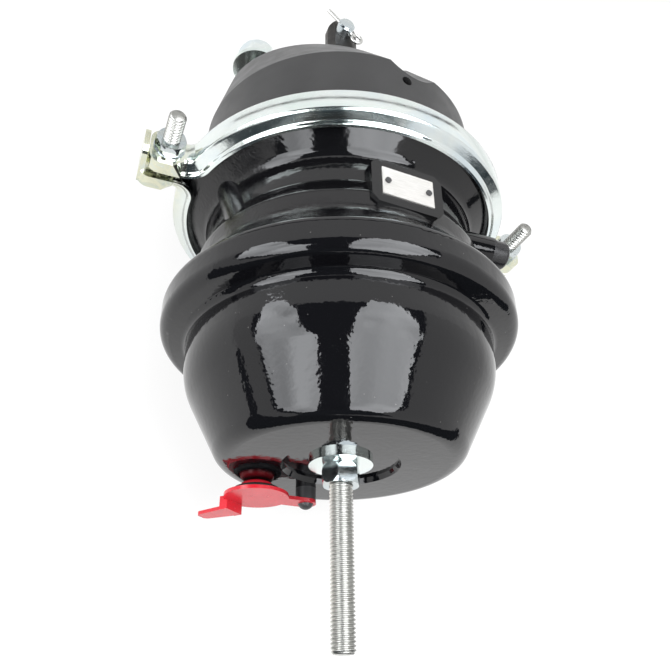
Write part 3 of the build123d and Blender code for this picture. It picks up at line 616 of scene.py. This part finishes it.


# coil springs, each copied from its CAD piece with the spring finish

coilSprings = {
    "powerSpring": ("power_spring", "housing", "spring_piston"),
    "adapterReturnSpring": ("adapter_return_spring", "spring_piston", "housing"),
    "serviceReturnSpring": ("service_return_spring", "service_rod", "housing"),
}


def makeCoilSpring(name, node, first, second):  # first would hold its spring head end and second its clevis end; neither is used
    low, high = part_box(node)
    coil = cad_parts[node]
    mesh = coil.data.copy()
    mesh.transform(coil.matrix_world)
    mesh.name = name
    mesh.materials.clear()
    mesh.materials.append(finishes["springSteel"])
    spring = placed(name, mesh)
    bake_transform(spring)
    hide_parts(node)


for springName, (node, first, second) in coilSprings.items():
    makeCoilSpring(springName, node, first, second)


# bench and sky

benchSheet = {"reach": 30.0, "gap": 0.0002, "paper": (0.9, 0.9, 0.9, 1), "glow": (1, 1, 1, 1), "glowShare": 0.8}
sky = {"colour": (1, 1, 1, 1), "seen": 1.0, "unseen": 0.45}


def seenRays(n):  # 1 for rays from the camera, in gloss or through clear stuff, and 0 for the others
    path = n.add("ShaderNodeLightPath").outputs
    gloss = n.math("ADD", path["Is Glossy Ray"], path["Is Transmission Ray"])
    return n.math("MINIMUM", n.math("ADD", path["Is Camera Ray"], gloss), 1.0)


def benchTop(s):
    reach, z = s["reach"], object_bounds()[0][2] - s["gap"]
    sheet = bpy.data.meshes.new("benchTop")
    sheet.from_pydata([(-reach, -reach, z), (reach, -reach, z), (reach, reach, z), (-reach, reach, z)], [],
                      [(0, 1, 2, 3)])
    bench = placed("benchTop", sheet)
    material, n = emptyFinish("whiteBench")
    paper = n.add("ShaderNodeBsdfDiffuse")
    paper.inputs["Color"].default_value = s["paper"]
    glow = n.add("ShaderNodeEmission")
    glow.inputs["Color"].default_value = s["glow"]
    mix = n.add("ShaderNodeMixShader")
    n.wire(n.math("MULTIPLY", seenRays(n), s["glowShare"]), mix.inputs[0])
    n.wire(paper.outputs[0], mix.inputs[1])
    n.wire(glow.outputs[0], mix.inputs[2])
    n.wire(mix.outputs[0], n.add("ShaderNodeOutputMaterial").inputs["Surface"])
    sheet.materials.append(material)
    bench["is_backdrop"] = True


def studioWorld(s):
    world = bpy.data.worlds.new("studioWhite")
    bpy.context.scene.world = world
    world.use_nodes = True
    world.node_tree.nodes.clear()
    n = NodeSheet(world.node_tree)
    light = n.add("ShaderNodeBackground")
    light.inputs["Color"].default_value = s["colour"]
    n.wire(n.math("ADD", n.math("MULTIPLY", seenRays(n), s["seen"] - s["unseen"]), s["unseen"]),
           light.inputs["Strength"])
    n.wire(light.outputs[0], n.add("ShaderNodeOutputWorld").inputs["Surface"])


benchTop(benchSheet)
studioWorld(sky)
print("bench and sky set")


# camera, turned about the push rod and tilted; focal, width and axisAcross are in points across the frame

viewFrame = {"turn": 22.5, "tilt": 29.8, "roll": -0.75, "height": 0.376265, "back": 0.397527, "middle": (0, -0.19, 0),
             "sensor": 36, "focal": 731.19, "width": 671, "axisAcross": 339.112, "near": 0.01, "far": 20}
turn = radians(viewFrame["turn"])
acrossView = Vector((cos(turn), 0, sin(turn)))
alongView = Vector((0, 1, 0))
aboveView = Vector((-sin(turn), 0, cos(turn)))


def bringCamera(s):
    data = bpy.data.cameras.new("benchCamera")
    camera = placed("benchCamera", data)
    tilt = radians(s["tilt"])
    place = aboveView * s["height"] - alongView * s["back"]
    forward = -aboveView * cos(tilt) + alongView * sin(tilt)
    up = alongView * cos(tilt) + aboveView * sin(tilt)
    right = forward.cross(up)
    facing = Matrix((right, up, -forward)).transposed() @ Matrix.Rotation(radians(s["roll"]), 3, "Z")
    camera.matrix_world = Matrix.Translation(place) @ facing.to_4x4()
    data.sensor_width = s["sensor"]
    data.lens = s["sensor"] * s["focal"] / s["width"]
    data.shift_x = (s["width"] / 2 - s["axisAcross"]) / s["width"]
    data.clip_start = s["near"]
    data.clip_end = s["far"]
    bpy.context.scene.camera = camera


bringCamera(viewFrame)
print("camera set")


# softboxes, flags and lamps

def viewPoint(across, along, above):  # a point given in the view's own axes, from the chamber's middle
    return Vector(viewFrame["middle"]) + across * acrossView + along * alongView + above * aboveView


def direction(azimuth, lean, away):  # azimuth about the push rod from straight above the view, lean towards +Y
    a, e = radians(azimuth), radians(lean)
    return viewPoint(away * sin(a) * cos(e), away * sin(e), away * cos(a) * cos(e))


def aimedAt(place, target):  # turned to the target with its height lying along the push rod's way
    back = (place - target).normalized()
    side = alongView.cross(back).normalized()
    facing = Matrix((side, back.cross(side), back)).transposed()
    return Matrix.Translation(place) @ facing.to_4x4()


def band(low, high, azimuthFrom, azimuthTo, step=12):  # rows of a card as wide at every lean
    count = max(1, round(abs(high - low) / step))
    return [(low + (high - low) * k / count, azimuthFrom, azimuthTo) for k in range(count + 1)]


duskBlue = (0.70, 0.88, 1.0)
clothWhite = (0.95, 0.97, 1.0)
leftSoftbox = [(29, -50, -38), (14, -52, -27), (-2, -55, -26), (-15, -57, -23), (-24, -54, -14), (-30, -52, -17),
               (-48, -50, -22), (-63, -48, -26)]
rightSoftbox = [(22, 21, 38), (8, 12, 49), (-10, 10, 56), (-23, 7, 53), (-40, 8, 55), (-55, 10, 58), (-65, 14, 60)]
cards = {  # rows are (lean, azimuth from, azimuth to), from one end of the card to the other
    "leftSoftbox": {"rows": leftSoftbox, "away": 1.2, "strength": 5.4, "colour": clothWhite, "unevenness": 0.3},
    "rightSoftbox": {"rows": rightSoftbox, "away": 1.2, "strength": 6.6, "colour": clothWhite, "unevenness": 0.2},
    "darkCeiling": {"rows": band(20, -66, -58, 58), "away": 1.5, "strength": 0.04, "colour": duskBlue},
    "darkFront": {"rows": band(-66, -89, -94, 94), "away": 1.5, "strength": 0.09, "colour": duskBlue},
    "greyOverhead": {"rows": band(20, 47, -92, 92), "away": 1.5, "strength": 1.05},
    "darkTruss": {"rows": band(47, 51, -92, 92), "away": 1.5, "strength": 0.15},
    "whiteOverhead": {"rows": band(51, 88, -92, 92), "away": 1.5, "strength": 1.0},
    "greyLeft": {"rows": band(20, -66, -96, -58), "away": 1.5, "strength": 0.9},
    "greyRight": {"rows": band(20, -66, 58, 110), "away": 1.5, "strength": 0.9},
}
cardCloud = {"scale": 2.4, "detail": 1}
darkCloth = {"left": -1.5, "right": 1.5, "near": -0.42, "far": -2.0, "above": 0.004, "strength": 0.05}
lamps = {"leftLamp": {"azimuth": -36, "energy": 17}, "rightLamp": {"azimuth": 33, "energy": 22}}
lampPanel = {"width": 0.9, "height": 1.4, "lean": -10, "away": 1.2}


def glossCard(name, corners, faces, s):  # shows only in gloss, as a softbox or a flag does
    card = bpy.data.meshes.new(name)
    card.from_pydata(corners, [], faces)
    board = placed(name, card)
    material, n = emptyFinish(name)
    glow = n.add("ShaderNodeEmission")
    glow.inputs["Color"].default_value = (*s.get("colour", (1, 1, 1)), 1)
    unevenness = s.get("unevenness", 0.0)
    patches = n.cloud(n.point(), cardCloud["scale"], cardCloud["detail"])
    n.wire(n.spread(patches, s["strength"] * (1 - unevenness), s["strength"] * (1 + unevenness)),
           glow.inputs["Strength"])
    n.wire(glow.outputs[0], n.add("ShaderNodeOutputMaterial").inputs["Surface"])
    material.cycles.emission_sampling = "NONE"
    card.materials.append(material)
    board.visible_camera = False
    board.visible_diffuse = False
    board.visible_transmission = False
    board.visible_shadow = False
    board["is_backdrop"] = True


def reflector(name, s):  # a card bent round the chamber, about 10 degrees to a column
    rows = s["rows"]
    columns = max(1, round(max(high - low for lean, low, high in rows) / 10))
    corners = [direction(low + (high - low) * k / columns, lean, s["away"])
               for lean, low, high in rows for k in range(columns + 1)]
    across = columns + 1
    faces = [(r * across + k, r * across + k + 1, (r + 1) * across + k + 1, (r + 1) * across + k)
             for r in range(len(rows) - 1) for k in range(columns)]
    glossCard(name, corners, faces, s)


def layCloth(s):  # lies over the bench in front of the spring head
    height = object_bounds()[0][2] + s["above"]
    corners = [(s["left"], s["near"], height), (s["right"], s["near"], height),
               (s["right"], s["far"], height), (s["left"], s["far"], height)]
    glossCard("darkCloth", corners, [(0, 1, 2, 3)], {"strength": s["strength"], "colour": duskBlue})


def hangLamp(name, s, panel):
    lamp = bpy.data.lights.new(name, "AREA")
    lamp.shape = "RECTANGLE"
    lamp.size = panel["width"]
    lamp.size_y = panel["height"]
    lamp.energy = s["energy"]
    holder = placed(name, lamp)
    holder.matrix_world = aimedAt(direction(s["azimuth"], panel["lean"], panel["away"]), viewPoint(0, 0, 0))
    holder.visible_glossy = False


for name, settings in cards.items():
    reflector(name, settings)
layCloth(darkCloth)
for name, settings in lamps.items():
    hangLamp(name, settings, lampPanel)
bpy.context.scene.view_settings.view_transform = "Standard"
print("softboxes, flags and lamps set")
